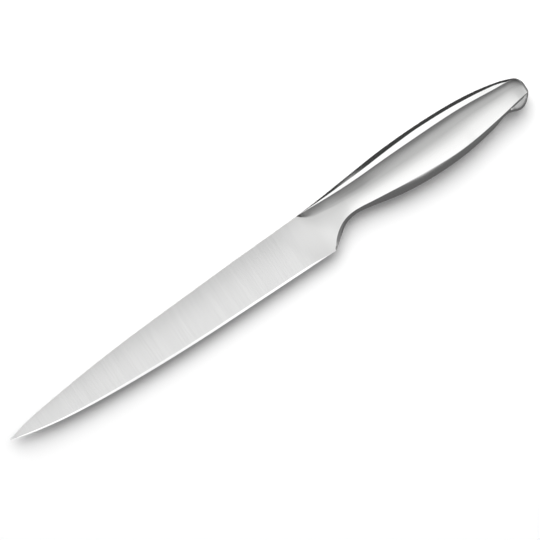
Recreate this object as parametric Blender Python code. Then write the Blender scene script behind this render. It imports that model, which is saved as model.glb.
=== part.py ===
# Fillet knife, steel all over, lying on its side.
#
# X runs along the knife, from the point (-X) to the butt (+X). Y runs across it, from the cutting edge (-Y)
# to the spine (+Y). Z is its thickness. All lengths are in metres.
# A station is a distance along the knife from the heel, where the cutting edge ends: negative towards the
# point, positive towards the butt. A lift is a height above the straight part of the cutting edge, towards
# the spine.

import bmesh
import bpy
import numpy as np

# Blade
BLADE_LENGTH = 0.2014  # heel to point
BLADE_HEIGHT = 0.0274  # cutting edge to spine, at the heel
POINT_LIFT = 0.0118
EDGE_STRAIGHT = 0.070  # straight part of the cutting edge
SPINE_THICKNESS = 0.0022  # at the heel
EDGE_THICKNESS = 0.0006  # behind the edge bevel, at the heel
POINT_THICKNESS = 0.0007
BEVEL_WIDTH = 0.0015
HEEL_BEVEL = 0.0003
BEVEL_RUNOUT = 0.012  # where the bevel starts to narrow, in front of the heel

# Shoulder, where the blade swells into the handle
FLARE_AT_SPINE = 0.022  # its start in front of the heel, at the spine
FLARE_AT_EDGE = 0.010  # its start in front of the heel, at the edge
FLARE_RUN = 0.015  # the stretch over which it gets steeper
FLARE_SLOPE = 0.18
FLARE_BLEND = 0.0015
NOTCH_START = 0.0086  # start of the roll-off at the spine, in front of the heel
NOTCH_WIDTH = 0.0056
NOTCH_GROWTH = 0.004  # the stretch in which it opens
NOTCH_FADE = 0.016  # where its lower border has become smooth, behind the heel

# Outline of the handle
HANDLE_LENGTH = 0.1322  # heel to the end of the butt
HANDLE_RISE = 0.0050  # of its top over the spine at the heel
TOP_STATION = 0.070  # where its top is highest
NECK_STATION = 0.0195
NECK_LIFT = 0.0104
BELLY_STATION = 0.065
BELLY_LIFT = 0.0040
HOOK_SETBACK = 0.0160  # of the hollow in front of the beak, from the end of the butt
HOOK_LIFT = 0.0102
BEAK_SETBACK = 0.0084
BEAK_LIFT = 0.0083
BUTT_LIFT = 0.0177  # of the end of the butt
SHOULDER_SETBACK = 0.0049  # of the butt's upper corner
SHOULDER_LIFT = 0.0253

# Thickness of the handle
HEEL_THICKNESS = 0.0074
NECK_THICKNESS = 0.0090
HANDLE_THICKNESS = 0.0162
THICKEST_STATION = 0.073
BUTT_THICKNESS = 0.0124
BUTT_SETBACK = 0.008  # where that thickness is measured
END_THICKNESS = 0.0114  # that its side would have at the end, if it weren't rounded there
END_ROUNDING = 0.0026
END_CENTRE_SETBACK = 0.012  # of the centre towards which the inside of the butt shrinks

# Creases and facets of the handle
TOP_FACET = 0.0056
TOP_FACET_AT_HEEL = 0.0009
TOP_FACET_AT_BUTT = 0.0014
BELLY_FACET = 0.0041
NECK_FACET = 0.0018
HOOK_FACET = 0.0014
BEAK_FACET_SETBACK = 0.0112  # where the facet of the beak has its full shape, from the end of the butt
END_CREASE_LIFT = 0.0142  # where the lower crease runs out at the end of the butt
ROLL_WIDTH = 0.0075  # of the roll-off below the upper crease, past the notch
ROLL_SLOPE = 0.45
BELLY_SLOPE = 0.36
TOP_FULLNESS = 0.35
BELLY_FULLNESS = 0.40
BUTT_FULLNESS = 0.90

# Inside the handle
SHELL_WALL = 0.0012
JOINT_STATION = 0.018  # where the shells meet the shoulder
FIT_GAP = 0.0003
REGISTER_LENGTH = 0.005
TANG_LENGTH = 0.040  # past the register
TANG_HEIGHT = 0.0100
TANG_THICKNESS = 0.0034
CORE_GAP = 0.0004
CORE_SETBACK = 0.013  # of its end from the end of the butt
WEIGHT_DIAMETER = 0.007
WEIGHT_LENGTH = 0.026
WEIGHT_CHAMFER = 0.0005

# Shapes of the curves, as shares of the stretches that they cross
SPINE_BOW = ((0.045, 0.155), (0.12, 0.31), (0.24, 0.485), (0.40, 0.655), (0.60, 0.785), (0.80, 0.895))
EDGE_BOW = ((2, 0.63), (5, 0.17), (8, 0.20))
TOP_BOW = ((0.25, 0.285), (0.457, 0.566), (0.629, 0.786), (0.80, 0.93))
BACK_BOW = ((0.28, 0.046), (0.49, 0.16), (0.698, 0.38), (0.86, 0.645), (0.95, 0.845))
SHOULDER_BOW = ((0.61, 0.22), (0.86, 0.46), (0.97, 0.72))
BEAK_BOW = ((0.05, 0.255), (0.226, 0.54), (0.583, 0.86))
HOOK_BOW = ((0.395, 0.32), (0.71, 0.84))
BELLY_BOW = ((0.13, 0.258), (0.316, 0.605), (0.51, 0.85))
GRIP_BOW = ((0.33, 0.17), (0.55, 0.42), (0.725, 0.70), (0.90, 0.94))
NECK_BOW = ((0.22, 0.337), (0.436, 0.645), (0.57, 0.81), (0.785, 0.95))
HEEL_CREASE = ((0.103, 0.251), (0.308, 0.60), (0.513, 0.812), (0.718, 0.937))
GRIP_CREASE = ((0.23, 0.21), (0.45, 0.47), (0.67, 0.727))
BELLY_CREASE = ((0.29, -0.205), (0.49, -0.077), (0.684, 0.25), (0.88, 0.70))
TOP_FACET_GROWTH = ((0.28, 0.48), (0.55, 0.83))
TOP_FACET_TAPER = ((0.32, 0.13), (0.64, 0.36), (0.87, 0.86), (0.94, 1))
BEAK_STEP = ((0.10, 0.82), (0.45, 0.70), (0.84, 0.44))

# Limits of the facets and of the roll-off, as shares of the height of a section
MOST_TOP_FACET = 0.22
MOST_ROLL = 0.35
MOST_LOW_FACET = 0.40
LEAST_LOW_FACET = 0.05

# How finely the shapes are divided
FACET_STEPS = 4
SIDE_STEPS = 5
ROLL_STEPS = 3
BLADE_STEPS = 12
POINT_CROWDING = 1.4
FLARE_STEPS = 5
NOTCH_STEPS = 7
HEEL_STEPS = 7
NECK_STEPS = 8
HANDLE_STEPS = 24
HOOK_STEPS = 4
END_STEPS = 9
ROD_SIDES = 24
CREASE_ANGLE = np.radians(25)
MERGE = 1e-6


def mix(start, end, share):
    return start + (end - start) * share


def smooth_step(value, start, end):
    """0 up to start, 1 from end on, level at both."""
    share = np.clip((value - start) / (end - start), 0, 1)
    return share * share * (3 - 2 * share)


def smooth_minimum(first, second, reach):
    """The lower of two surfaces, rounded where they come within reach of each other."""
    near = np.maximum(reach - np.abs(first - second), 0) / reach
    return np.minimum(first, second) - near * near * reach / 4


def spline(points, samples=2000):
    """A smooth curve through the points, as closely spaced samples."""
    points = np.array(points)
    steps = np.linalg.norm(np.diff(points, axis=0), axis=1)
    knots = np.concatenate([[0], np.cumsum(steps)])
    count = len(points)
    system = np.eye(count)
    known = np.zeros((count, 2))
    for i in range(1, count - 1):
        system[i, i - 1 : i + 2] = steps[i - 1], 2 * (steps[i - 1] + steps[i]), steps[i]
        known[i] = 6 * ((points[i + 1] - points[i]) / steps[i] - (points[i] - points[i - 1]) / steps[i - 1])
    bend = np.linalg.solve(system, known)
    along = np.linspace(0, knots[-1], samples)
    piece = np.clip(np.searchsorted(knots, along, side="right") - 1, 0, count - 2)
    after = (along - knots[piece])[:, None]
    before = (knots[piece + 1] - along)[:, None]
    step = steps[piece][:, None]
    return (
        bend[piece] * before**3 / (6 * step)
        + bend[piece + 1] * after**3 / (6 * step)
        + (points[piece] / step - bend[piece] * step / 6) * before
        + (points[piece + 1] / step - bend[piece + 1] * step / 6) * after
    )


def value_at(curve, station):
    """The curve's second coordinate where its first is station."""
    order = np.argsort(curve[:, 0])
    return np.interp(station, curve[order, 0], curve[order, 1])


def between(start, end, shares):
    """Points from start to end, each at its own share of the way along and across."""
    return [(mix(start[0], end[0], along), mix(start[1], end[1], across)) for along, across in shares]


def stations(*stretches):
    """Values from stretches (start, end, steps), without repeats where they meet."""
    runs = [np.linspace(start, end, steps + 1)[:-1] for start, end, steps in stretches]
    return [*np.concatenate(runs), stretches[-1][1]]


def body_outline():
    """The outline without the cutting edge: along the spine, round the butt and back to the heel."""
    point = (-BLADE_LENGTH, POINT_LIFT)
    heel_top = (0, BLADE_HEIGHT)
    top = (TOP_STATION, BLADE_HEIGHT + HANDLE_RISE)
    corner = (HANDLE_LENGTH - SHOULDER_SETBACK, SHOULDER_LIFT)
    butt = (HANDLE_LENGTH, BUTT_LIFT)
    beak = (HANDLE_LENGTH - BEAK_SETBACK, BEAK_LIFT)
    hook = (HANDLE_LENGTH - HOOK_SETBACK, HOOK_LIFT)
    belly = (BELLY_STATION, BELLY_LIFT)
    neck = (NECK_STATION, NECK_LIFT)
    return spline(
        [point]
        + between(point, heel_top, SPINE_BOW)
        + [heel_top]
        + between(heel_top, top, TOP_BOW)
        + [top]
        + between(top, corner, BACK_BOW)
        + [corner]
        + between(corner, butt, SHOULDER_BOW)
        + [butt]
        + between(butt, beak, BEAK_BOW)
        + [beak]
        + between(beak, hook, HOOK_BOW)
        + [hook]
        + between(hook, belly, BELLY_BOW)
        + [belly]
        + between(belly, neck, GRIP_BOW)
        + [neck]
        + between((0, 0), neck, reversed(NECK_BOW))
        + [(0, 0)]
    )


OUTLINE = body_outline()
BUTT_END = int(np.argmax(OUTLINE[:, 0]))
END_STATION = OUTLINE[BUTT_END, 0]


def top_lift(x):
    return value_at(OUTLINE[: BUTT_END + 1], x)


def cutting_edge(x):
    """Lift of the edge: straight in front of the heel, then curving up to the point."""
    share = np.clip((-x - EDGE_STRAIGHT) / (BLADE_LENGTH - EDGE_STRAIGHT), 0, 1)
    return POINT_LIFT * sum(weight * share**power for power, weight in EDGE_BOW)


def bottom_lift(x):
    return np.where(x < 0, cutting_edge(x), value_at(OUTLINE[BUTT_END:], x))


def section_height(x):
    return top_lift(x) - bottom_lift(x)


def lower_crease():
    """Lift of the crease between the side and the belly facet, from the heel to the end of the butt."""
    heel = (0, HEEL_BEVEL)
    neck = (NECK_STATION, NECK_LIFT + NECK_FACET)
    belly = (BELLY_STATION, BELLY_LIFT + BELLY_FACET)
    hook = (HANDLE_LENGTH - HOOK_SETBACK, HOOK_LIFT + HOOK_FACET)
    return spline(
        [heel]
        + between(heel, neck, HEEL_CREASE)
        + [neck]
        + between(neck, belly, GRIP_CREASE)
        + [belly]
        + between(belly, hook, BELLY_CREASE)
        + [hook, (HANDLE_LENGTH, END_CREASE_LIFT)]
    )


def top_facet():
    """Reach of the facet along the top, from where it starts at the notch to the end of the butt."""
    full = (TOP_STATION, TOP_FACET)
    end = (HANDLE_LENGTH, TOP_FACET_AT_BUTT)
    return spline(
        [(-NOTCH_START, 0), (0, TOP_FACET_AT_HEEL)]
        + between((0, TOP_FACET_AT_HEEL), full, TOP_FACET_GROWTH)
        + [full]
        + between(full, end, TOP_FACET_TAPER)
        + [end]
    )


def crest():
    """Half the handle's thickness along the middle of its side."""
    heel = (0, HEEL_THICKNESS / 2)
    neck = (NECK_STATION, NECK_THICKNESS / 2)
    thickest = (THICKEST_STATION, HANDLE_THICKNESS / 2)
    butt = (HANDLE_LENGTH - BUTT_SETBACK, BUTT_THICKNESS / 2)
    return spline(
        [heel, neck]
        + between(neck, thickest, ((0.37, 0.48), (0.70, 0.85)))
        + [thickest]
        + between(thickest, butt, ((0.5, 0.28),))
        + [butt, (HANDLE_LENGTH, END_THICKNESS / 2)]
    )


LOWER_CREASE = lower_crease()
TOP_FACET_REACH = top_facet()
CREST = crest()


def upper_crease_at(x):
    reach = np.where(x < -NOTCH_START, 0, value_at(TOP_FACET_REACH, x))
    return top_lift(x) - np.minimum(reach, MOST_TOP_FACET * section_height(x))


def lower_crease_at(x):
    """On the blade this is the border of the edge bevel."""
    height = section_height(x)
    bevel = mix(BEVEL_WIDTH, HEEL_BEVEL, smooth_step(x, -BEVEL_RUNOUT, -HEEL_BEVEL))
    width = np.where(x < 0, bevel, value_at(LOWER_CREASE, x) - bottom_lift(x))
    width = np.where(x < 0, width, np.maximum(width, LEAST_LOW_FACET * height))
    return bottom_lift(x) + np.minimum(width, MOST_LOW_FACET * height)


def roll_width_at(x):
    """Width of the band below the upper crease in which the side rolls off."""
    notch = NOTCH_WIDTH * (1 - np.exp(-np.maximum(x + NOTCH_START, 0) / NOTCH_GROWTH))
    width = mix(notch, ROLL_WIDTH, smooth_step(x, 0, 2 * NOTCH_FADE))
    return np.minimum(width, MOST_ROLL * section_height(x))


def ground_face(x, y):
    """Half the blade's thickness. It is a plane, so the ground face is truly flat."""
    rise = (SPINE_THICKNESS - EDGE_THICKNESS) / 2 / BLADE_HEIGHT
    run = ((EDGE_THICKNESS - POINT_THICKNESS) / 2 + rise * POINT_LIFT) / BLADE_LENGTH
    return EDGE_THICKNESS / 2 + run * x + rise * y


def flare(x, y):
    """What the shoulder adds to the ground face, behind a slanted line across the blade."""
    lean = FLARE_AT_SPINE - FLARE_AT_EDGE
    past = ((x + FLARE_AT_EDGE) * BLADE_HEIGHT + y * lean) / np.hypot(BLADE_HEIGHT, lean)
    past = np.maximum(past, 0)
    bend = FLARE_SLOPE * past**2 / (2 * FLARE_RUN)
    return np.where(past < FLARE_RUN, bend, FLARE_SLOPE * (past - FLARE_RUN / 2))


def side_height(x, y):
    """Height of the side over the mid-plane, between the two creases."""
    lower = lower_crease_at(x)
    upper = upper_crease_at(x)
    width = roll_width_at(x)
    border = upper - width
    reach = np.maximum(border - lower, MERGE)
    belly = BELLY_SLOPE * reach / 2 * np.clip((border - y) / reach, 0, 1) ** 2
    belly = belly * smooth_step(x, 0, NECK_STATION + ROLL_WIDTH)
    height = smooth_minimum(ground_face(x, y) + flare(x, y), value_at(CREST, x) - belly, FLARE_BLEND)
    crisp = 1 - smooth_step(x, -NOTCH_START, NOTCH_FADE)
    share = np.clip((y - border) / np.maximum(width, MERGE), 0, 1)
    roll = ROLL_SLOPE * width / (2 - crisp) * (crisp * share + (1 - crisp) * share**2)
    end = np.clip((x - END_STATION + END_ROUNDING) / END_ROUNDING, 0, 1)
    return (height - roll) * np.sqrt(1 - end**2)


def facet(crease, outline, fullness):
    """Points of a facet between its crease and the outline, bulging more the nearer fullness is to 1."""
    control = np.array([outline, fullness * crease[1]])
    shares = np.arange(1, FACET_STEPS) / FACET_STEPS
    crease = np.array(crease)
    outline = np.array([outline, 0])
    return [(1 - t) ** 2 * crease + 2 * t * (1 - t) * control + t * t * outline for t in shares]


def beak_facet(crease, outline):
    """Below the crease the beak drops in a short step, runs out almost level and turns down at its rim."""
    return [np.array([mix(crease[0], outline, across), crease[1] * up]) for across, up in BEAK_STEP]


def half_section(x):
    """Points (y, z) of the section at station x on the +Z side, from the outline's bottom to its top."""
    bottom = float(bottom_lift(x))
    top = float(top_lift(x))
    lower = float(lower_crease_at(x))
    upper = float(upper_crease_at(x))
    border = upper - float(roll_width_at(x))
    lifts = stations((lower, border, SIDE_STEPS), (border, upper, ROLL_STEPS))
    side = [np.array([y, float(side_height(x, y))]) for y in lifts]
    behind_heel = float(smooth_step(x, 0, NECK_STATION / 2))
    at_butt = float(smooth_step(x, HANDLE_LENGTH - HOOK_SETBACK, HANDLE_LENGTH - SHOULDER_SETBACK))
    on_beak = float(smooth_step(x, HANDLE_LENGTH - HOOK_SETBACK, HANDLE_LENGTH - BEAK_FACET_SETBACK))
    low = facet(side[0], bottom, BELLY_FULLNESS * behind_heel)
    low = [mix(plain, beak, on_beak) for plain, beak in zip(low, beak_facet(side[0], bottom))]
    high = facet(side[-1], top, mix(TOP_FULLNESS, BUTT_FULLNESS, at_butt))
    return [(bottom, 0)] + low[::-1] + side + high + [(top, 0)]


def inset_section(x, inset):
    """half_section as points (x, y, z), drawn in by inset. The end of the butt shrinks towards a centre."""
    height = float(section_height(min(x, END_CENTRE)))
    thickness = max(z for _, z in half_section(min(x, END_CENTRE)))
    reach = END_STATION - END_CENTRE
    stretch = reach / (reach - inset)
    outer = x if x <= END_CENTRE else min(END_CENTRE + (x - END_CENTRE) * stretch, END_STATION)
    middle = float(top_lift(outer) + bottom_lift(outer)) / 2
    across = 1 - 2 * inset / height
    through = 1 - inset / thickness
    return [(x, middle + (y - middle) * across, z * through) for y, z in half_section(outer)]


def section_ring(x, inset=0.0):
    """The whole section at station x as a closed ring, drawn in by inset."""
    half = inset_section(x, inset)
    return half + [(x, y, -z) for x, y, z in half[-2:0:-1]]


def shell_ring(outer, inner, side):
    """Wall of one half shell, from its outer section to its inner one, half the gap off the mid-plane."""
    wall = inset_section(outer, 0) + inset_section(inner, SHELL_WALL)[::-1]
    squeeze = 1 - FIT_GAP / HANDLE_THICKNESS
    return [(x, y, side * (FIT_GAP / 2 + z * squeeze)) for x, y, z in wall]


def round_ring(x, radius):
    """A circle across X, on the centre line of the balance weight."""
    angles = np.arange(ROD_SIDES) * 2 * np.pi / ROD_SIDES
    return [(x, WEIGHT_LIFT + radius * np.cos(a), radius * np.sin(a)) for a in angles]


def bar_ring(x, height, thickness):
    """A rectangle across X, on the centre line of the tang."""
    corners = ((-1, -1), (1, -1), (1, 1), (-1, 1))
    return [(x, TANG_LIFT + across * height / 2, up * thickness / 2) for across, up in corners]


def loft(name, rings):
    """A closed body through the rings, which all have the same number of points."""
    shape = bmesh.new()
    cap = shape.faces.new([shape.verts.new(place) for place in rings[0]])
    for number, ring in enumerate(rings[1:]):
        grown = bmesh.ops.extrude_face_region(shape, geom=[cap])["geom"]
        if number:
            bmesh.ops.delete(shape, geom=[cap], context="FACES_ONLY")
        cap = next(item for item in grown if isinstance(item, bmesh.types.BMFace))
        for vert, place in zip(cap.verts, ring):
            vert.co = place
    bmesh.ops.remove_doubles(shape, verts=shape.verts, dist=MERGE)
    bmesh.ops.recalc_face_normals(shape, faces=shape.faces)
    mesh = bpy.data.meshes.new(name)
    shape.to_mesh(mesh)
    shape.free()
    mesh.shade_smooth()
    mesh.set_sharp_from_angle(angle=CREASE_ANGLE)
    thing = bpy.data.objects.new(name, mesh)
    bpy.context.scene.collection.objects.link(thing)
    return thing


def use_helper(thing, helper, operation):
    """Joins the helper to the thing, or cuts it out. The helper itself isn't rendered."""
    boolean = thing.modifiers.new(helper.name, "BOOLEAN")
    boolean.operation = operation
    boolean.object = helper
    helper.hide_render = True
    helper.display_type = "WIRE"


def finish(thing, name, colour, roughness, metallic):
    material = bpy.data.materials.new(name)
    material.use_nodes = True
    shader = material.node_tree.nodes["Principled BSDF"]
    shader.inputs["Base Color"].default_value = (*colour, 1)
    shader.inputs["Roughness"].default_value = roughness
    shader.inputs["Metallic"].default_value = metallic
    thing.data.materials.append(material)


def make_blade():
    """Blade, shoulder and register in one, with the tang joined on."""
    point = (-BLADE_LENGTH, POINT_LIFT, 0)
    rings = [[point] * len(section_ring(0))]
    shares = np.linspace(0, 1, BLADE_STEPS + 1)[1:] ** POINT_CROWDING
    rings += [section_ring(mix(-BLADE_LENGTH, -FLARE_AT_SPINE, share)) for share in shares]
    face = JOINT_STATION - FIT_GAP / 2
    shoulder = stations(
        (-FLARE_AT_SPINE, -NOTCH_START, FLARE_STEPS),
        (-NOTCH_START, 0, NOTCH_STEPS),
        (0, NECK_STATION / 4, HEEL_STEPS),
        (NECK_STATION / 4, face, NECK_STEPS),
    )
    rings += [section_ring(x) for x in shoulder[1:]]
    register = SHELL_WALL + FIT_GAP
    rings += [section_ring(x, register) for x in (face, JOINT_STATION + REGISTER_LENGTH)]
    blade = loft("blade", rings)
    tang = [bar_ring(x, TANG_HEIGHT, TANG_THICKNESS) for x in (face, TANG_END)]
    use_helper(blade, loft("tang_bar", tang), "UNION")
    return blade


def make_shell(name, side):
    """One pressed half of the handle, from the joint to the butt. side is 1 for front, -1 for back."""
    rings = [shell_ring(x, x, side) for x in HANDLE_STATIONS]
    reach = END_STATION - END_CENTRE
    for share in np.sin(np.linspace(0, np.pi / 2, END_STEPS + 1))[1:]:
        inner = END_CENTRE + share * (reach - SHELL_WALL)
        rings.append(shell_ring(END_CENTRE + share * reach, inner, side))
    return loft(name, rings)


def make_core():
    """Filling of the handle, with a slot for the tang in front and a bore for the weight at the back."""
    inset = SHELL_WALL + CORE_GAP
    along = [CORE_START] + [x for x in HANDLE_STATIONS if CORE_START < x < CORE_END] + [CORE_END]
    core = loft("handle_core", [section_ring(x, inset) for x in along])
    slot = (TANG_HEIGHT + 2 * FIT_GAP, TANG_THICKNESS + 2 * FIT_GAP)
    slot_rings = [bar_ring(x, *slot) for x in (CORE_START - SHELL_WALL, TANG_END + FIT_GAP)]
    use_helper(core, loft("tang_slot", slot_rings), "DIFFERENCE")
    radius = WEIGHT_DIAMETER / 2 + FIT_GAP
    bore = [round_ring(x, radius) for x in (CORE_END - WEIGHT_LENGTH - FIT_GAP, CORE_END + SHELL_WALL)]
    use_helper(core, loft("weight_bore", bore), "DIFFERENCE")
    return core


def make_weight():
    """Steel slug with chamfered ends, flush with the back end of the core."""
    radius = WEIGHT_DIAMETER / 2
    start = CORE_END - WEIGHT_LENGTH
    profile = (
        (start, radius - WEIGHT_CHAMFER),
        (start + WEIGHT_CHAMFER, radius),
        (CORE_END - WEIGHT_CHAMFER, radius),
        (CORE_END, radius - WEIGHT_CHAMFER),
    )
    return loft("balance_weight", [round_ring(x, size) for x, size in profile])


def put_on_ground(pieces):
    """Parents the pieces to an empty, which puts the middle of the knife's underside at the origin."""
    places = np.array([vert.co for piece in pieces for vert in piece.data.vertices])
    low, high = places.min(axis=0), places.max(axis=0)
    root = bpy.data.objects.new("fillet_knife", None)
    bpy.context.scene.collection.objects.link(root)
    root.location = (-(low[0] + high[0]) / 2, -(low[1] + high[1]) / 2, -low[2])
    for thing in bpy.data.objects:
        if thing is not root:
            thing.parent = root


END_CENTRE = HANDLE_LENGTH - END_CENTRE_SETBACK
HANDLE_STATIONS = stations(
    (JOINT_STATION + FIT_GAP / 2, HANDLE_LENGTH - HOOK_SETBACK, HANDLE_STEPS),
    (HANDLE_LENGTH - HOOK_SETBACK, END_CENTRE, HOOK_STEPS),
)
CORE_START = JOINT_STATION + REGISTER_LENGTH + FIT_GAP
CORE_END = HANDLE_LENGTH - CORE_SETBACK
TANG_END = JOINT_STATION + REGISTER_LENGTH + TANG_LENGTH
TANG_LIFT = float(top_lift(CORE_START) + bottom_lift(CORE_START)) / 2
WEIGHT_LIFT = float(top_lift(CORE_END) + bottom_lift(CORE_END)) / 2

for old in list(bpy.data.objects):
    bpy.data.objects.remove(old)

blade = make_blade()
front = make_shell("handle_shell_front", 1)
back = make_shell("handle_shell_back", -1)
core = make_core()
weight = make_weight()
finish(blade, "blade_steel", (0.76, 0.76, 0.75), 0.30, 1)
finish(front, "front_shell_steel", (0.79, 0.79, 0.78), 0.22, 1)
finish(back, "back_shell_steel", (0.79, 0.79, 0.78), 0.22, 1)
finish(core, "core_resin", (0.16, 0.15, 0.14), 0.7, 0)
finish(weight, "weight_steel", (0.55, 0.55, 0.55), 0.4, 1)
put_on_ground([blade, front, back, core, weight])
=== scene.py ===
import math

import bmesh
import bpy
import numpy as np
from mathutils import Matrix, Vector


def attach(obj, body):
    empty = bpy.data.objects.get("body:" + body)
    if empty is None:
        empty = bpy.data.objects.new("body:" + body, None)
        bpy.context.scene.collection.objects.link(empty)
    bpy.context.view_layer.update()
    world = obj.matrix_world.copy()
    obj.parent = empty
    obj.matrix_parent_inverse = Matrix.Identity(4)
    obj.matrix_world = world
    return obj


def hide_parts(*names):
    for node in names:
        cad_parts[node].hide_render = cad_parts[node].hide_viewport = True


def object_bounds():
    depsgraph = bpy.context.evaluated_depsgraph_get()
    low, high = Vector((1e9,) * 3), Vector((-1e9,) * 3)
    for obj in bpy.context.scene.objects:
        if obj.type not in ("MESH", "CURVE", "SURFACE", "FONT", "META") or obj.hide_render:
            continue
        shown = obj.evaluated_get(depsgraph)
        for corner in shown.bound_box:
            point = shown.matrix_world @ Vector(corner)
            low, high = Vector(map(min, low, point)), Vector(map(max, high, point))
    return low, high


mm = 0.001

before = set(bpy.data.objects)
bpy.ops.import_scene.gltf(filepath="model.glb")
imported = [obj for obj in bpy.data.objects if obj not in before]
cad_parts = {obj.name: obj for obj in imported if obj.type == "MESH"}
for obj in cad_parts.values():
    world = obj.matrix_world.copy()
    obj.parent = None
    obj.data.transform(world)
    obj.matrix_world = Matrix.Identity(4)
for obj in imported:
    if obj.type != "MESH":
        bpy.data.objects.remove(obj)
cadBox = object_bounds()
print("frame: knife is", [round((b - a) / mm, 1) for a, b in zip(*cadBox)], "mm")

# Lengths in the dictionaries are millimetres, but the studio's are metres. A place on the knife is
# (station, lift): the distance from the heel, negative to the point and positive to the butt, and the height
# above the straight cutting edge. A height off the knife's middle plane is up.

least = 0.001  # no length that something is divided by is shorter

knife = {
    "bladeLength": 201.4,
    "pointLift": 11.8,
    "edgeStraight": 70,  # of the cutting edge, from the heel forward
    "edgeCurve": [(2, 0.63), (5, 0.17), (8, 0.20)],  # powers and their shares of its rise to the point
    "spine": [(-201.4, 11.8), (-192.34, 14.22), (-177.23, 16.64), (-153.06, 19.37), (-120.84, 22.02),
              (-80.56, 24.05), (-40.28, 25.76), (0, 27.4), (17.5, 28.93), (32, 30.33), (44, 31.42),
              (56, 32.1), (70, 32.4), (86, 32.15), (98, 31.42), (110, 29.85), (119.3, 27.93),
              (124.4, 26.45), (127.3, 25.3), (130.3, 23.63), (131.5, 21.8), (132.05, 19.83), (132.2, 17.7)],
    "belly": [(0, 0), (4.3, 3.5), (8.5, 6.7), (11.1, 8.42), (15.3, 9.88), (19.5, 10.4), (24, 10.02),
              (32, 8.48), (40, 6.69), (50, 5.09), (65, 4), (90, 4.93), (100, 6.45), (109.5, 8.6),
              (116.2, 10.2), (118.4, 9.9), (120.8, 8.91), (123.8, 8.3), (127.3, 9.5), (130.45, 12.25),
              (131.85, 14.75), (132.2, 17.7)],
    "lowCrease": [(0, 0.3), (2, 3.5), (6, 7.68), (10, 10.18), (14, 11.6), (19.5, 12.25), (30, 11.34),
                  (40, 10.3), (50, 9.34), (65, 8.35), (79.8, 7.68), (90, 8.1), (100, 9.18), (110, 10.65),
                  (116.2, 11.65), (124, 13.05), (132.2, 14.2)],
    "topFacet": [(-8.2, 0), (0, 0.74), (8, 1.76), (19.6, 3.16), (38.5, 4.7), (70, 5.48), (90, 5), (110, 4),
                 (119, 2.9), (124, 1.8), (127.5, 1.1), (132.2, 1)],  # its height, from the spine down
    "halfThickness": [(0, 3.7), (19.5, 4.5), (39.3, 6.25), (57, 7.55), (73, 8.1), (98.6, 7.6),
                      (124.2, 6.2), (132.2, 5.7)],
    "joint": 18,  # where the shells meet the shoulder
}


def smoothLine(points, samples=1600):  # a natural cubic through the points
    points = np.array(points, float)
    gaps = np.hypot(*np.diff(points, axis=0).T)
    marks = np.concatenate([[0], np.cumsum(gaps)])
    system = np.eye(len(points))
    known = np.zeros((len(points), 2))
    for i in range(1, len(points) - 1):
        system[i, i - 1:i + 2] = gaps[i - 1], 2 * (gaps[i - 1] + gaps[i]), gaps[i]
        known[i] = 6 * ((points[i + 1] - points[i]) / gaps[i] - (points[i] - points[i - 1]) / gaps[i - 1])
    bend = np.linalg.solve(system, known)
    along = np.linspace(0, marks[-1], samples)
    part = np.clip(np.searchsorted(marks, along, side="right") - 1, 0, len(points) - 2)
    after = (along - marks[part])[:, None]
    before = (marks[part + 1] - along)[:, None]
    gap = gaps[part][:, None]
    return (bend[part] * before**3 / (6 * gap) + bend[part + 1] * after**3 / (6 * gap)
            + (points[part] / gap - bend[part] * gap / 6) * before
            + (points[part + 1] / gap - bend[part + 1] * gap / 6) * after)


def lineAt(line, station):
    order = np.argsort(line[:, 0], kind="stable")
    return np.interp(station, line[order, 0], line[order, 1])


def tableAt(table, station):
    return np.interp(station, *np.array(table).T)


def mixed(a, b, share):
    return a + (b - a) * share


def eased(value, start, end):  # 0 up to start, 1 from end on
    share = np.clip((value - start) / (end - start), 0, 1)
    return share * share * (3 - 2 * share)


lines = {name: smoothLine(knife[name])
         for name in ("spine", "belly", "lowCrease", "topFacet", "halfThickness")}
endStation = float(lines["spine"][:, 0].max())


# The outline and the two creases that run along the knife

def topAt(station):
    return lineAt(lines["spine"], station)


def bottomAt(station):
    share = np.clip((-station - knife["edgeStraight"]) / (knife["bladeLength"] - knife["edgeStraight"]), 0, 1)
    edge = knife["pointLift"] * sum(part * share**power for power, part in knife["edgeCurve"])
    return np.where(station < 0, edge, lineAt(lines["belly"], station))


crease = {
    # width of the ground bevel at the cutting edge
    "bevel": [(-201.4, 0.08), (-198, 0.12), (-196.5, 0.3), (-194, 0.5), (-190, 0.66), (-180, 0.82),
              (-170, 0.88), (-160, 1.02), (-150, 1.12), (-120, 1.4), (-90, 1.3), (-60, 1.28), (-30, 1.15),
              (-17, 1.12), (-12, 0.88), (-9, 0.62), (-6, 0.32), (-3, 0.15), (0, 0.12)],
    "bevelSlope": 0.28,  # at most, so that the edge is left blunt towards the heel
    "notchStart": 8.2,  # of the roll-off, in front of the heel
    "rollWidth": [(-8.2, 0.1), (-7.6, 0.6), (-7, 1.2), (-6, 2.2), (-4, 3.45), (-2, 4.15), (0, 4.7), (5, 5.15),
                  (12, 5.85), (18, 6), (30, 6.7), (55, 7.5), (80, 7.3), (100, 5.8), (118, 4.6), (125, 4.2),
                  (132.2, 3.4)],
    "mostTopFacet": 0.22,  # these are shares of the section's height
    "mostRoll": 0.35,
    "mostLowFacet": 0.40,
    "leastLowFacet": 0.05,
}


def heightAt(station):
    return topAt(station) - bottomAt(station)


def upperCreaseAt(station):
    reach = np.where(station < -crease["notchStart"], 0, lineAt(lines["topFacet"], station))
    return topAt(station) - np.minimum(reach, crease["mostTopFacet"] * heightAt(station))


def lowerCreaseAt(station):
    bottom, height = bottomAt(station), heightAt(station)
    bevel = tableAt(crease["bevel"], station)
    width = np.maximum(lineAt(lines["lowCrease"], station) - bottom, crease["leastLowFacet"] * height)
    return bottom + np.minimum(np.where(station < 0, bevel, width), crease["mostLowFacet"] * height)


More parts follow.
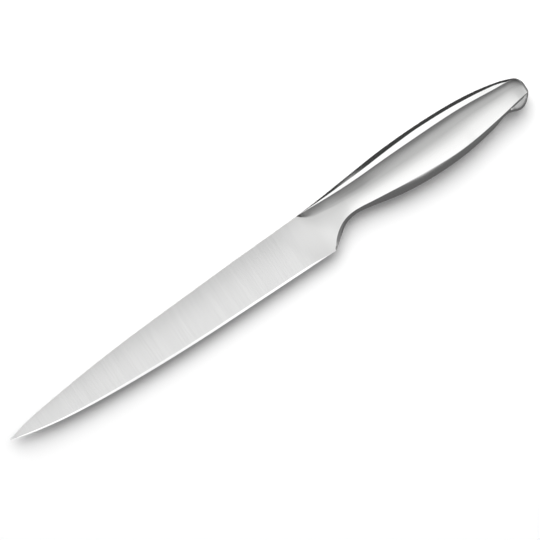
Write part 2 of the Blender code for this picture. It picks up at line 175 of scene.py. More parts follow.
def rollWidthAt(station):
    width = np.where(station < -crease["notchStart"], 0, tableAt(crease["rollWidth"], station))
    return np.minimum(width, crease["mostRoll"] * heightAt(station))


side = {
    "spineThickness": 2.2,
    "edgeThickness": 0.6,  # behind the bevel
    "pointThickness": 0.7,
    "bladeHeight": 27.4,
    "bow": 0.38,  # how far the ground face swells
    "bowFade": 2.1,  # power of the blade's height with which the swelling shrinks to the point
    "pointTaper": 2.5,  # height of the blade below which it thins to its point
    "flareAtSpine": 26,  # start of the shoulder's swelling, in front of the heel
    "flareAtEdge": 9,
    "flareRun": 13,
    "flareSlope": 0.165,
    "flareBlend": 1.5,
    "rollSlope": [(-8.2, 0.44), (118, 0.45), (123, 0.5), (127.5, 0.42), (132.2, 0.34)],
    # shares of that slope which the roll-off has at its lower border and below the crease
    "rollLow": [(-4, 1.05), (-2, 0.9), (0, 0.7), (5, 0.64), (9, 0.54), (14, 0.54), (20, 0.58), (30, 0.58),
                (40, 0.47)],
    "rollHigh": [(-4, 1), (0, 1.05), (5, 0.96), (9, 0.85), (14, 0.82), (20, 0.82), (30, 0.80), (40, 0.73)],
    "rollBorder": [(0, 0.06), (6, 0.1), (12, 0.2), (20, 0.17), (30, 0.15), (45, 0.3)],  # its soft beginning
    "rollCrease": 9,  # how closely below the crease the roll-off reaches its full slope
    "rollEven": (33, 75),  # where the roll-off turns into an even curve
    "bellySlope": [(0, 0.30), (30, 0.33), (55, 0.36), (95, 0.36), (110, 0.28), (118, 0.20), (125, 0.14),
                   (132.2, 0.12)],
    "bellyLevelling": [(0, 0.01), (90, 0.01), (110, 1.5), (118, 2.5), (132.2, 3)],
    "bellyFull": 27,  # station from which the side falls to the belly with its full slope
    "endRounding": 1.5,
    "endFall": (121.5, 0.012),  # from which station the sides bend inwards to the butt, and how fast
}


def groundAt(station, lift, lower, reach):  # half the thickness of the ground blade
    rise = (side["spineThickness"] - side["edgeThickness"]) / 2 / side["bladeHeight"]
    gain = (side["edgeThickness"] - side["pointThickness"]) / 2 + rise * knife["pointLift"]
    ground = side["edgeThickness"] / 2 + gain / knife["bladeLength"] * station + rise * lift
    share = np.clip((lift - lower) / reach, 0, 1)
    swell = 2.1 * (share - share**4)  # 1 at its highest, which lies nearer the spine
    bow = side["bow"] * swell * (reach / side["bladeHeight"])**side["bowFade"]
    ground = ground + bow * (1 - eased(station, 0, knife["joint"]))
    return ground * (1 - np.exp(-heightAt(station) / side["pointTaper"]))


def flareAt(station, lift):  # what the shoulder adds behind a slanting line across the blade
    lean = side["flareAtSpine"] - side["flareAtEdge"]
    across = (station + side["flareAtEdge"]) * side["bladeHeight"] + lift * lean
    past = np.maximum(across / math.hypot(side["bladeHeight"], lean), 0)
    run = side["flareRun"]
    return side["flareSlope"] * np.where(past < run, past**2 / (2 * run), past - run / 2)


def gripAt(station, lift, border, reach):  # half the thickness of the handle, before its roll-off
    slope = tableAt(side["bellySlope"], station)
    level = tableAt(side["bellyLevelling"], station)
    fall = np.clip((border - lift) / reach, 0, 1)
    belly = slope * reach * (fall - (1 - np.exp(-level * fall)) / level) / (1 - np.exp(-level))
    return lineAt(lines["halfThickness"], station) - belly * eased(station, 0, side["bellyFull"])


def rollAt(station, lift, border, width):  # how far the side has rolled off on its way to the upper crease
    share = np.clip((lift - border) / np.maximum(width, least), 0, 1)
    soft = tableAt(side["rollBorder"], station)
    start = tableAt(side["rollLow"], station)
    gain = tableAt(side["rollHigh"], station) - start
    begun = share**2 * (start / 2 + gain * share / 3) / soft
    later = soft * (start / 2 + gain * soft / 3) + start * (share - soft) + gain * (share**2 - soft**2) / 2
    roll = np.where(share < soft, begun, later)
    roll = roll + (1 - start - gain) * share**side["rollCrease"] / side["rollCrease"]
    roll = mixed(roll, share**2 / 2, eased(station, *side["rollEven"]))
    return tableAt(side["rollSlope"], station) * width * roll


def sideAt(station, lift):  # half the knife's thickness at a place between its creases
    lower, upper, width = lowerCreaseAt(station), upperCreaseAt(station), rollWidthAt(station)
    border = upper - width
    reach = np.maximum(border - lower, least)
    blade = groundAt(station, lift, lower, reach) + flareAt(station, lift)
    grip = gripAt(station, lift, border, reach)
    near = np.maximum(side["flareBlend"] - np.abs(blade - grip), 0) / side["flareBlend"]
    height = np.minimum(blade, grip) - near**2 * side["flareBlend"] / 4
    start, bend = side["endFall"]
    fall = rollAt(station, lift, border, width) + bend * np.maximum(station - start, 0)**2 / 2
    end = np.clip((station - endStation + side["endRounding"]) / side["endRounding"], 0, 1)
    return (height - fall) * np.sqrt(1 - end**2)


facet = {
    "topSlope": 0.65,  # of the bright flat above the upper crease
    # the flat's share of the top facet, before the steep rim
    "topFlat": [(0, 0.46), (12, 0.5), (20, 0.52), (30, 0.49), (40, 0.5), (55, 0.59), (70, 0.65), (85, 0.62),
                (100, 0.57), (118, 0.57), (120, 0.5), (122.4, 0.34), (124.6, 0.05), (132.2, 0.05)],
    "mostTopFall": 0.45,  # of the flat, as a share of the half thickness there
    "rimFullness": 0.9,
    "bellyFullness": [(0, 0), (10, 0.4), (30, 0.4), (60, 0.7), (116, 0.7)],
    "beak": (117.2, 119, 128.5, 131),  # where the flat land of the beak begins, is full, fades and ends
    "beakStep": [(127.4, 0.95), (129.4, 0.08)],  # width of the small step above that land
    "beakSlope": 0.74,  # of the step
    "beakDish": 0.17,  # how much the land rises outwards
    "beakRim": [(118, 0.95), (124, 1.15), (128, 1.5), (131, 1.6)],
    "mostBeakStep": 0.25,  # these two are shares of the facet's width
    "mostBeakRim": 0.4,
}

landRows = (0.35, 0.75)  # shares of the rows below the lower crease between which the beak's land lies
flatRows = 0.5  # share of the rows above the upper crease that lie on the flat


def beakAt(station, share, lower, width, low):  # lift and up on the beak: the rim, the land, then the step
    step = np.minimum(tableAt(facet["beakStep"], station), facet["mostBeakStep"] * width)
    rim = np.minimum(tableAt(facet["beakRim"], station), facet["mostBeakRim"] * width)
    land = width - step - rim
    borders = (0, *landRows, 1)
    onRim, onLand, onStep = (np.clip((b - share) / (b - a), 0, 1) for a, b in zip(borders, borders[1:]))
    depth = step * onStep + land * onLand + rim * onRim
    up = low - facet["beakSlope"] * step * onStep + facet["beakDish"] * land * onLand**2
    return lower - depth, np.maximum(up, 0) * np.sqrt(1 - onRim)


def lowFacetAt(station, share):  # lift and up below the lower crease: the bevel, the belly and the beak
    bottom, lower = bottomAt(station), lowerCreaseAt(station)
    low, width = sideAt(station, lower), lower - bottom
    blunt = np.maximum(low - crease["bevelSlope"] * width, 0)
    bevel = np.where(share > 0, mixed(blunt, low, share), 0)
    fullness = tableAt(facet["bellyFullness"], station)
    belly = low * (share**2 + 2 * share * (1 - share) * fullness)
    lift = np.where(station < 0, mixed(bottom, lower, share), bottom + width * share**2)
    up = np.where(station < 0, bevel, belly)
    start, full, fading, gone = facet["beak"]
    onBeak = eased(station, start, full) * (1 - eased(station, fading, gone))
    beakLift, beakUp = beakAt(station, share, lower, width, low)
    return mixed(lift, beakLift, onBeak), mixed(up, beakUp, onBeak)


def topFacetAt(station, share):  # lift and up above the upper crease: the flat, then the steep rim
    upper, top = upperCreaseAt(station), topAt(station)
    high = sideAt(station, upper)
    flat = tableAt(facet["topFlat"], station)
    onFlat, onRim = share / flatRows, (share - flatRows) / (1 - flatRows)
    share = np.where(share < flatRows, onFlat * flat, mixed(flat, 1, onRim))
    drop = np.minimum(facet["topSlope"] * (top - upper) * flat, facet["mostTopFall"] * high)
    over = np.clip((share - flat) / (1 - flat), 0, 1)
    rim = (high - drop) * (1 - over)**facet["rimFullness"]
    return mixed(upper, top, share), np.where(share < flat, high - drop * share / flat, rim)


lowBand, sideBand, rollBand, topBand = range(4)  # of the skin, from the edge or belly up to the spine


def skinPoint(station, band, share):  # lift and up of a point of the knife's skin
    lower, upper = lowerCreaseAt(station), upperCreaseAt(station)
    border = upper - rollWidthAt(station)
    sideLift = np.where(band == sideBand, mixed(lower, border, share), mixed(border, upper, share))
    lowLift, lowUp = lowFacetAt(station, share)
    topLift, topUp = topFacetAt(station, share)
    facets = [band == lowBand, band == topBand]
    return (np.select(facets, [lowLift, topLift], sideLift),
            np.select(facets, [lowUp, topUp], sideAt(station, sideLift)))


# the shares of a band between which a strip of rows lies, how many rows it has, and where they crowd
strips = [
    (lowBand, 0, landRows[0], 8, "both"),
    (lowBand, *landRows, 6, "both"),
    (lowBand, landRows[1], 1, 3, "both"),
    (sideBand, 0, 1, 26, "both"),
    (rollBand, 0, 1, 12, "end"),
    (topBand, 0, flatRows, 8, "both"),
    (topBand, flatRows, 1, 12, "both"),
]


def crowded(count, at):  # shares from 0 to 1, closer together at both ends or at the last
    even = np.linspace(0, 1, count + 1)
    return (1 - np.cos(even * np.pi)) / 2 if at == "both" else 1 - (1 - even)**2


def skinRows():  # (band, share) of each row, from the bottom of the outline to its top
    rows = [(lowBand, 0)]
    for band, start, end, count, at in strips:
        rows += [(band, share) for share in mixed(start, end, crowded(count, at)[1:])]
    return rows


heel = Vector((cadBox[0][0] + knife["bladeLength"] * mm, cadBox[0][1], (cadBox[0][2] + cadBox[1][2]) / 2))


def knifeSkin(stations):  # one side of the knife's skin, bent from a flat grid
    rows = skinRows()
    shape = bmesh.new()
    bmesh.ops.create_grid(shape, x_segments=len(stations) - 1, y_segments=len(rows) - 1, size=0.5)
    across = np.array([[v.co.x + 0.5, v.co.y + 0.5] for v in shape.verts])
    column = np.rint(across[:, 0] * (len(stations) - 1)).astype(int)
    row = np.rint(across[:, 1] * (len(rows) - 1)).astype(int)
    station = np.array(stations)[column]
    band, share = np.array(rows)[row].T
    lift, up = skinPoint(station, band, share)
    for vert, x, y, z in zip(shape.verts, station, lift, up):
        vert.co = (x, y, z)
    return shape


def placeObject(name, data):
    made = bpy.data.objects.new(name, data)
    bpy.context.scene.collection.objects.link(made)
    return made


def placeMesh(shape, name):
    mesh = bpy.data.meshes.new(name)
    shape.to_mesh(mesh)
    shape.free()
    return placeObject(name, mesh)


def sortFaces(shape):  # by their places, so that each run gives the same mesh
    places = sorted(shape.faces, key=lambda face: tuple(face.calc_center_median()))
    for index, face in enumerate(places):
        face.index = index
    shape.faces.sort()


def finishPiece(shape, name, sharp):
    sortFaces(shape)
    bmesh.ops.scale(shape, vec=(mm, mm, mm), verts=shape.verts)
    bmesh.ops.translate(shape, vec=heel, verts=shape.verts)
    piece = placeMesh(shape, name)
    piece.data.shade_smooth()
    piece.data.set_sharp_from_angle(angle=math.radians(sharp))
    print(name, len(piece.data.polygons), "faces")
    return piece


blade = {
    "shoulderFrom": 30,  # in front of the heel, where the columns of faces begin to stand closer
    "notchFrom": 10,
    "columns": (70, 30, 30, 50),  # up to these two places, to the heel and to the joint
    "crowding": 1.6,  # of the columns at the point
    "mirrorGap": 1e-5,  # vertices this close are joined
    "pointGap": 0.01,
    "gap": 2e-4,
    "sharp": 60,  # degrees
    "register": 5,  # how far it reaches into the handle
    "registerInset": 1.5,
    "tangLength": 40,
    "tangHeight": 10,
    "tangThickness": 3.4,
}


def bladeColumns():
    toShoulder, toNotch, toHeel, toJoint = blade["columns"]
    shoulder, notch, whole = blade["shoulderFrom"], blade["notchFrom"], knife["bladeLength"]
    return np.concatenate([
        -whole + (whole - shoulder) * np.linspace(0, 1, toShoulder)[:-1]**blade["crowding"],
        np.linspace(-shoulder, -notch, toNotch)[:-1],
        np.linspace(-notch, 0, toHeel)[:-1],
        np.linspace(0, knife["joint"], toJoint),
    ])


def grownEnd(shape, face, reach):  # the end face moves on, and walls follow it
    made = bmesh.ops.extrude_face_region(shape, geom=face)["geom"]
    bmesh.ops.delete(shape, geom=face, context="FACES_ONLY")
    verts = [g for g in made if isinstance(g, bmesh.types.BMVert)]
    bmesh.ops.translate(shape, vec=(reach, 0, 0), verts=verts)
    return [g for g in made if isinstance(g, bmesh.types.BMFace)], verts


def makeBlade():
    shape = knifeSkin(bladeColumns())
    bmesh.ops.mirror(shape, geom=shape.verts[:] + shape.edges[:] + shape.faces[:], matrix=Matrix.Identity(4),
                     merge_dist=blade["mirrorGap"], axis="Z")
    point = (-knife["bladeLength"], knife["pointLift"], 0)
    bmesh.ops.pointmerge(shape, verts=[v for v in shape.verts if v.co.x < point[0] + blade["pointGap"]],
                         merge_co=point)
    bmesh.ops.remove_doubles(shape, verts=shape.verts, dist=blade["gap"])
    # the joint's face, then the register and the tang that reach into the handle
    face = bmesh.ops.holes_fill(shape, edges=[e for e in shape.edges if e.is_boundary], sides=0)["faces"]
    bmesh.ops.inset_region(shape, faces=face, thickness=blade["registerInset"], use_even_offset=True)
    face, verts = grownEnd(shape, face, blade["register"])
    face, verts = grownEnd(shape, face, 0)
    places = np.array([v.co for v in verts])
    size = np.ptp(places, axis=0)
    middle = (places.max(0) + places.min(0)) / 2
    bmesh.ops.scale(shape, vec=(1, blade["tangHeight"] / size[1], blade["tangThickness"] / size[2]),
                    space=Matrix.Translation(-Vector(middle)), verts=verts)
    grownEnd(shape, face, blade["tangLength"])
    bmesh.ops.recalc_face_normals(shape, faces=shape.faces)
    return finishPiece(shape, "blade_forged", blade["sharp"])


shell = {
    "wall": 1.2,
    "endReach": 16,  # of the butt, where the columns of faces crowd
    "columns": (90, 60),  # up to there, and on to the end
    "gap": 2e-3,
    "sharp": 26,
}


def makeShell(name, far):
    reach = shell["endReach"]
    toButt, toEnd = shell["columns"]
    shape = knifeSkin(np.concatenate([
        np.linspace(knife["joint"], endStation - reach, toButt)[:-1],
        endStation - reach + reach * np.sin(np.linspace(0, np.pi / 2, toEnd)),
    ]))
    bmesh.ops.remove_doubles(shape, verts=shape.verts, dist=shell["gap"])
    bmesh.ops.recalc_face_normals(shape, faces=shape.faces)
    if sum(f.normal.z for f in shape.faces) < 0:
        bmesh.ops.reverse_faces(shape, faces=shape.faces)
    outside = set(shape.verts)
    bmesh.ops.solidify(shape, geom=shape.faces[:], thickness=shell["wall"])
    for vert in shape.verts:
        if vert not in outside:
            vert.co.z = max(vert.co.z, 0)
    if far:
        bmesh.ops.scale(shape, vec=(1, 1, -1), verts=shape.verts)
    bmesh.ops.recalc_face_normals(shape, faces=shape.faces)
    return finishPiece(shape, name, shell["sharp"])


bladePiece = makeBlade()
frontPiece = makeShell("shell_front", False)
backPiece = makeShell("shell_back", True)


# Materials

def newGroup(name, inputs, outputs):
    group = bpy.data.node_groups.new(name, "ShaderNodeTree")
    for way, sockets in (("INPUT", inputs), ("OUTPUT", outputs)):
        for label, kind in sockets.items():
            group.interface.new_socket(name=label, in_out=way, socket_type=kind)
    return group, group.nodes.new("NodeGroupInput"), group.nodes.new("NodeGroupOutput")


def addNode(tree, kind, **values):  # a value is a setting of the node, or one of its inputs
    node = tree.nodes.new(kind)
    for name, value in values.items():
        if hasattr(node, name):
            setattr(node, name, value)
        else:
            node.inputs[name.replace("_", " ")].default_value = value
    return node


def setRange(node, taken, given=(0, 1)):  # of a Map Range node
    for label, value in zip(("From Min", "From Max", "To Min", "To Max"), (*taken, *given)):
        node.inputs[label].default_value = value


def newMaterial(name):
    material = bpy.data.materials.new(name)
    material.use_nodes = True
    return material, material.node_tree


def grey(bright):
    return (bright, bright, bright, 1)


grinding = {
    "detail": 3.0,  # of the fine marks
    "roughness": 0.6,
    "driftDetail": 2.0,  # of the wide soft bands
    "driftScale": 0.12,
    "contrast": (0.3, 0.7),  # the part of the noise that is stretched to the full range
    "relief": 0.02,
}


def grindLines():  # long fine marks that lie along Y of the place fed in
    group, given, result = newGroup(
        "grindLines",
        {"Place": "NodeSocketVector", "Spacing": "NodeSocketFloat", "Length": "NodeSocketFloat",
         "Waver": "NodeSocketFloat"},
        {"Lines": "NodeSocketFloat", "Drift": "NodeSocketFloat"})
    links = group.links
    split = addNode(group, "ShaderNodeSeparateXYZ")
    links.new(given.outputs["Place"], split.inputs[0])
    place = addNode(group, "ShaderNodeCombineXYZ")
    for axis, size in (("X", "Spacing"), ("Y", "Length")):
        ratio = addNode(group, "ShaderNodeMath", operation="DIVIDE")
        links.new(split.outputs[axis], ratio.inputs[0])
        links.new(given.outputs[size], ratio.inputs[1])
        links.new(ratio.outputs[0], place.inputs[axis])
    marks = addNode(group, "ShaderNodeTexNoise", Detail=grinding["detail"], Roughness=grinding["roughness"],
                    Scale=1.0)
    links.new(given.outputs["Waver"], marks.inputs["Distortion"])
    drift = addNode(group, "ShaderNodeTexNoise", Detail=grinding["driftDetail"], Scale=grinding["driftScale"])
    for noise, output in ((marks, "Lines"), (drift, "Drift")):
        links.new(place.outputs[0], noise.inputs["Vector"])
        stretch = addNode(group, "ShaderNodeMapRange")
        setRange(stretch, grinding["contrast"])
        links.new(noise.outputs["Fac"], stretch.inputs["Value"])
        links.new(stretch.outputs["Result"], result.inputs[output])
    return group


def steel(name, look, group, shoulder=None):  # shoulder: a finish that takes over towards the handle
    material, tree = newMaterial(name)
    links = tree.links
    shader = tree.nodes["Principled BSDF"]
    shader.inputs["Metallic"].default_value = 1
    place = addNode(tree, "ShaderNodeTexCoord")
    turn = addNode(tree, "ShaderNodeMapping")
    turn.inputs["Rotation"].default_value = (0, 0, math.radians(look["turn"]))
    links.new(place.outputs["Object"], turn.inputs["Vector"])
    marks = addNode(tree, "ShaderNodeGroup", node_tree=group)
    links.new(turn.outputs["Vector"], marks.inputs["Place"])
    marks.inputs["Spacing"].default_value = look["spacing"] * mm
    marks.inputs["Length"].default_value = look["length"] * mm
    marks.inputs["Waver"].default_value = look["waver"]
    blend = addNode(tree, "ShaderNodeMix", data_type="FLOAT", Factor=look["drift"])
    links.new(marks.outputs["Lines"], blend.inputs["A"])
    links.new(marks.outputs["Drift"], blend.inputs["B"])
    tone = addNode(tree, "ShaderNodeMix", data_type="RGBA", A=(*look["dark"], 1), B=(*look["light"], 1))
    links.new(blend.outputs["Result"], tone.inputs["Factor"])
    rough = addNode(tree, "ShaderNodeMapRange")
    setRange(rough, (0, 1), look["rough"])
    links.new(blend.outputs["Result"], rough.inputs["Value"])
    colour, roughness = tone.outputs["Result"], rough.outputs["Result"]
    if shoulder:
        along = addNode(tree, "ShaderNodeSeparateXYZ")
        links.new(place.outputs["Object"], along.inputs[0])
        passed = addNode(tree, "ShaderNodeMapRange", interpolation_type="SMOOTHSTEP")
        setRange(passed, [heel.x + station * mm for station in shoulder["stations"]])
        links.new(along.outputs["X"], passed.inputs["Value"])
        evener = addNode(tree, "ShaderNodeMix", data_type="FLOAT", B=shoulder["rough"])
        darker = addNode(tree, "ShaderNodeMix", data_type="RGBA", B=(*shoulder["colour"], 1))
        for mix, before in ((evener, roughness), (darker, colour)):
            links.new(passed.outputs["Result"], mix.inputs["Factor"])
            links.new(before, mix.inputs["A"])
        colour, roughness = darker.outputs["Result"], evener.outputs["Result"]
    links.new(colour, shader.inputs["Base Color"])
    links.new(roughness, shader.inputs["Roughness"])
    bump = addNode(tree, "ShaderNodeBump", Strength=look["depth"], Distance=grinding["relief"] * mm)
    links.new(marks.outputs["Lines"], bump.inputs["Height"])
    links.new(bump.outputs["Normal"], shader.inputs["Normal"])
    return material


lookOfBlade = {
    "turn": 0,  # degrees: 0 lays the marks across the knife, 90 along it
    "spacing": 0.9,
    "length": 30,
    "waver": 0.3,
    "drift": 0.4,  # share of the wide soft bands in the marks
    "dark": (0.91, 0.91, 0.907),
    "light": (0.993, 0.993, 0.99),
    "rough": (0.21, 0.25),
    "depth": 0.02,  # share of the relief
}
lookOfShoulder = {"stations": (-22, -2), "rough": 0.19, "colour": (0.78, 0.78, 0.775)}
lookOfShells = {
    "turn": 90,
    "spacing": 0.9,
    "length": 30,
    "waver": 0.5,
    "drift": 0.5,
    "dark": (0.78, 0.78, 0.775),
    "light": (0.82, 0.82, 0.815),
    "rough": (0.16, 0.22),
    "depth": 0.02,
}
lookOfWeight = {
    "turn": 0,
    "spacing": 0.3,
    "length": 4,
    "waver": 0.1,
    "drift": 0.5,
    "dark": (0.48, 0.48, 0.48),
    "light": (0.62, 0.62, 0.61),
    "rough": (0.30, 0.48),
    "depth": 0.4,
}

grind = grindLines()
bladePiece.data.materials.append(steel("crossGroundSteel", lookOfBlade, grind, lookOfShoulder))
satin = steel("satinSteel", lookOfShells, grind)
frontPiece.data.materials.append(satin)
backPiece.data.materials.append(satin)
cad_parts["balance_weight"].material_slots[0].material = steel("turnedSteel", lookOfWeight, grind)

resin = {
    "dark": (0.10, 0.095, 0.09),
    "light": (0.20, 0.19, 0.175),
    "grain": 900,  # to the metre
    "detail": 4.0,
    "rough": (0.55, 0.85),
    "relief": 0.1,
    "depth": 0.3,
}


def castResin(look):
    material, tree = newMaterial("castResin")
    shader = tree.nodes["Principled BSDF"]
    place = addNode(tree, "ShaderNodeTexCoord")
    mottle = addNode(tree, "ShaderNodeTexNoise", Detail=look["detail"], Scale=look["grain"])
    tree.links.new(place.outputs["Object"], mottle.inputs["Vector"])
    tone = addNode(tree, "ShaderNodeMix", data_type="RGBA", A=(*look["dark"], 1), B=(*look["light"], 1))
    tree.links.new(mottle.outputs["Fac"], tone.inputs["Factor"])
    tree.links.new(tone.outputs["Result"], shader.inputs["Base Color"])
    rough = addNode(tree, "ShaderNodeMapRange")
    setRange(rough, (0, 1), look["rough"])
    tree.links.new(mottle.outputs["Fac"], rough.inputs["Value"])
    tree.links.new(rough.outputs["Result"], shader.inputs["Roughness"])
    bump = addNode(tree, "ShaderNodeBump", Strength=look["depth"], Distance=look["relief"] * mm)
    tree.links.new(mottle.outputs["Fac"], bump.inputs["Height"])
    tree.links.new(bump.outputs["Normal"], shader.inputs["Normal"])
    return material


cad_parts["handle_core"].material_slots[0].material = castResin(resin)
print("materials: ground blade, satin shells, cast filling, turned weight")

for piece, node, slot in ((bladePiece, "blade", "blade_steel"),
                          (frontPiece, "handle_shell_front", "front_shell_steel"),
                          (backPiece, "handle_shell_back", "back_shell_steel")):
    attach(piece, "root")
    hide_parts(node)


# Camera, straight above the knife, which lies across the picture from lower left to upper right

view = {
    "centre": (-35.6, 10.8),  # station and lift in the middle of the picture
    "width": 288.2,  # of the picture at the knife's middle plane
    "lens": 180,
    "sensor": 36,
    "turn": 33.5,  # degrees by which the knife rises to the right
}


def makeCamera():
    camera = placeObject("overhead", bpy.data.cameras.new("overhead"))
    camera.data.lens = view["lens"]
    camera.data.sensor_width = view["sensor"]
    station, lift = view["centre"]
    distance = view["width"] * view["lens"] / view["sensor"]
    camera.location = heel + Vector((station * mm, lift * mm, distance * mm))
    camera.rotation_euler = (0, 0, -math.radians(view["turn"]))
    bpy.context.scene.camera = camera


# Studio: a pale floor, soft lamps beyond the spine, and what the steel mirrors: dark cards on the floor and a
# room of long strips of light and shade. Its lengths are metres.

studio = {
    # each lamp reaches from one angle to another, in degrees off straight up. Then its turn from the spine
    # side towards the butt, its length and its power
    "lamps": {
        "wideLamp": (5, 62, 47, 3.3, 28.5),
        "lowLamp": (17, 73, 35, 1.6, 12.8),
        "sideLamp": (10, 71, 8, 1.7, 14.4),
    },
    "lampDistance": 1.6,
    "fill": 0.05,  # brightness of the room for all but the eye and mirrors
    "floorReach": 3,
    "floorColour": 0.92,
    "floorLift": 0.08,  # its glow to the eye near the knife, which grows to full white further out
    "floorWhite": (0.3, 0.8),
    # degrees off straight up, positive towards the spine side, and brightness
    "room": [(-180, 0.15), (-90, 0.15), (-61, 0.16), (-54, 0.33), (-48, 0.7), (-42, 1.4), (-28, 1.25),
             (-22, 1.2), (-17, 1.09), (-13, 0.96), (-9, 0.88), (-6, 0.81), (-3.5, 0.75), (-1.5, 0.68),
             (1, 0.61), (16, 0.61), (24, 0.56), (30, 0.48), (36, 0.32), (42, 0.20), (50, 0.14), (56, 0.45),
             (62, 1.0), (67, 1.5), (78, 1.5), (84, 0.16), (92, 0.12), (180, 0.10)],
    # the room's axes are -1 to 1: X towards the butt, Y towards the spine side, Z up
    "endX": (0.18, 0.58),  # where the end beyond the butt takes over from the strips
    "endY": (0.15, 0.6),  # between which it changes from the edge's side to the spine's
    "end": (0.26, 0.05),  # its brightness on these sides
    # the wings are grey, low at both ends, and only slanting views see them in the steel
    "wingX": (0.56, 0.68),
    "wingZ": (0.45, 0.30),
    "wing": 0.55,
    "cardReach": 2.9,
    "cardLift": 0.0003,
    "buttCardLift": 0.0006,
    "buttCardSide": 0.02,  # how far the card at the butt reaches towards the spine side, from the edge
    "spineCard": 0.06,  # brightness of the dark cards in the steel
    "edgeCard": 0.15,
    "buttCard": 0.22,
}


def makeSheet(name, start, end, lift, material):  # a level rectangle of the stage
    low, high = Vector(start), Vector(end)
    shape = bmesh.new()
    bmesh.ops.create_grid(shape, x_segments=1, y_segments=1, size=0.5)
    bmesh.ops.scale(shape, vec=(*(high - low), 1), verts=shape.verts)
    bmesh.ops.translate(shape, vec=(*((low + high) / 2), lift), verts=shape.verts)
    sheet = placeMesh(shape, name)
    sheet.data.materials.append(material)
    return sheet


def paleFloor():  # matte, with a glow that only the eye and mirrors see and that whitens away from the knife
    material, tree = newMaterial("paleFloor")
    tree.nodes.remove(tree.nodes["Principled BSDF"])
    matte = addNode(tree, "ShaderNodeBsdfDiffuse", Color=grey(studio["floorColour"]))
    glow = addNode(tree, "ShaderNodeEmission")
    path = addNode(tree, "ShaderNodeLightPath")
    seen = addNode(tree, "ShaderNodeMath", operation="MAXIMUM")
    tree.links.new(path.outputs["Is Camera Ray"], seen.inputs[0])
    tree.links.new(path.outputs["Is Glossy Ray"], seen.inputs[1])
    place = addNode(tree, "ShaderNodeTexCoord")
    away = addNode(tree, "ShaderNodeVectorMath", operation="LENGTH")
    tree.links.new(place.outputs["Object"], away.inputs[0])
    whiter = addNode(tree, "ShaderNodeMapRange", interpolation_type="SMOOTHSTEP")
    setRange(whiter, studio["floorWhite"], (studio["floorLift"], 1))
    tree.links.new(away.outputs["Value"], whiter.inputs["Value"])
    strength = addNode(tree, "ShaderNodeMath", operation="MULTIPLY")
    tree.links.new(seen.outputs[0], strength.inputs[0])
    tree.links.new(whiter.outputs["Result"], strength.inputs[1])
    tree.links.new(strength.outputs[0], glow.inputs["Strength"])
    both = addNode(tree, "ShaderNodeAddShader")
    tree.links.new(matte.outputs[0], both.inputs[0])
    tree.links.new(glow.outputs[0], both.inputs[1])
    tree.links.new(both.outputs[0], tree.nodes["Material Output"].inputs["Surface"])
    return material


def makeFloor():
    reach = studio["floorReach"]
    floor = makeSheet("floor", (-reach, -reach), (reach, reach), 0, paleFloor())


def makeCard(name, start, end, lift, bright):  # a dark card that only the steel sees, for its dark rims
    material, tree = newMaterial(name)
    tree.nodes.remove(tree.nodes["Principled BSDF"])
    shade = addNode(tree, "ShaderNodeEmission", Color=grey(bright))
    tree.links.new(shade.outputs[0], tree.nodes["Material Output"].inputs["Surface"])
    card = makeSheet(name, start, end, lift, material)
    card.visible_camera = False
    card.visible_diffuse = False
    card.visible_shadow = False


def makeCards():
    reach, lift = studio["cardReach"], studio["cardLift"]
    butt = heel.x + endStation * mm
    makeCard("spine_card", (-reach, 0), (reach, reach), lift, studio["spineCard"])
    makeCard("edge_card", (-reach, -reach), (reach, 0), lift, studio["edgeCard"])
    makeCard("butt_card", (butt, -reach), (reach, heel.y + studio["buttCardSide"]), studio["buttCardLift"],
             studio["buttCard"])


def makeLamp(name, start, end, turned, length, power):
    tilt, half = math.radians(start + end) / 2, math.radians(end - start) / 2
    turn = math.radians(turned)
    distance = studio["lampDistance"]
    lamp = placeObject(name, bpy.data.lights.new(name, "AREA"))
    lamp.data.shape = "RECTANGLE"
    lamp.data.size = length
    lamp.data.size_y = 2 * distance * math.tan(half)
    lamp.data.energy = power
    lamp.location = (math.sin(turn) * math.sin(tilt) * distance, math.cos(turn) * math.sin(tilt) * distance,
                     math.cos(tilt) * distance)
    lamp.rotation_euler = (-tilt, 0, -turn)
    lamp.visible_glossy = False


def roomStrips(tree, split):  # long strips along the knife, by their angle off straight up
    angle = addNode(tree, "ShaderNodeMath", operation="ARCTAN2")
    tree.links.new(split.outputs["Y"], angle.inputs[0])
    tree.links.new(split.outputs["Z"], angle.inputs[1])
    share = addNode(tree, "ShaderNodeMapRange")
    setRange(share, (-math.pi, math.pi))
    tree.links.new(angle.outputs[0], share.inputs["Value"])
    strips = addNode(tree, "ShaderNodeValToRGB")
    ramp = strips.color_ramp
    first, *between, last = studio["room"]
    ramp.elements[0].color = grey(first[1])
    ramp.elements[-1].color = grey(last[1])
    for degrees, bright in between:
        ramp.elements.new((degrees + 180) / 360).color = grey(bright)
    tree.links.new(share.outputs["Result"], strips.inputs["Fac"])
    return strips.outputs["Color"]


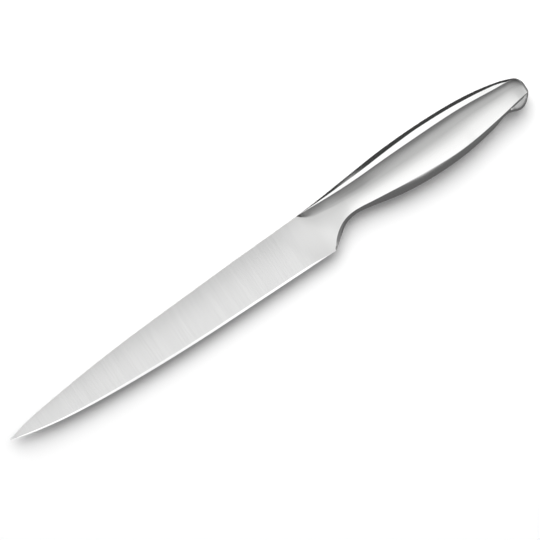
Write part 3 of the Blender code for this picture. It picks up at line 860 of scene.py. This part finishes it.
def passing(tree, value, limits):  # a mask that grows softly from 0 to 1 between two limits
    mask = addNode(tree, "ShaderNodeMapRange", interpolation_type="SMOOTHSTEP")
    setRange(mask, limits)
    tree.links.new(value, mask.inputs["Value"])
    return mask.outputs["Result"]


def mixedRoom(tree, factor, a, b):  # a, b: a brightness or a socket
    mix = addNode(tree, "ShaderNodeMix", data_type="RGBA")
    tree.links.new(factor, mix.inputs["Factor"])
    for label, value in (("A", a), ("B", b)):
        if isinstance(value, bpy.types.NodeSocket):
            tree.links.new(value, mix.inputs[label])
        else:
            mix.inputs[label].default_value = grey(value)
    return mix.outputs["Result"]


def makeRoom():
    world = bpy.data.worlds.new("room")
    world.use_nodes = True
    bpy.context.scene.world = world
    tree = world.node_tree
    place = addNode(tree, "ShaderNodeTexCoord")
    split = addNode(tree, "ShaderNodeSeparateXYZ")
    tree.links.new(place.outputs["Generated"], split.inputs[0])
    end = addNode(tree, "ShaderNodeMapRange")
    setRange(end, studio["endY"], studio["end"])
    tree.links.new(split.outputs["Y"], end.inputs["Value"])
    beyond = passing(tree, split.outputs["X"], studio["endX"])
    room = mixedRoom(tree, beyond, roomStrips(tree, split), end.outputs["Result"])
    sideways = addNode(tree, "ShaderNodeMath", operation="ABSOLUTE")
    tree.links.new(split.outputs["X"], sideways.inputs[0])
    wings = addNode(tree, "ShaderNodeMath", operation="MULTIPLY")
    tree.links.new(passing(tree, sideways.outputs[0], studio["wingX"]), wings.inputs[0])
    tree.links.new(passing(tree, split.outputs["Z"], studio["wingZ"]), wings.inputs[1])
    room = mixedRoom(tree, wings.outputs[0], room, studio["wing"])
    path = addNode(tree, "ShaderNodeLightPath")
    room = mixedRoom(tree, path.outputs["Is Glossy Ray"], studio["fill"], room)
    room = mixedRoom(tree, path.outputs["Is Camera Ray"], room, 1)
    tree.links.new(room, tree.nodes["Background"].inputs["Color"])


makeCamera()
makeFloor()
makeCards()
for name, reach in studio["lamps"].items():
    makeLamp(name, *reach)
makeRoom()
bpy.context.scene.view_settings.view_transform = "Standard"
print("studio: camera, floor, cards, lamps and room")
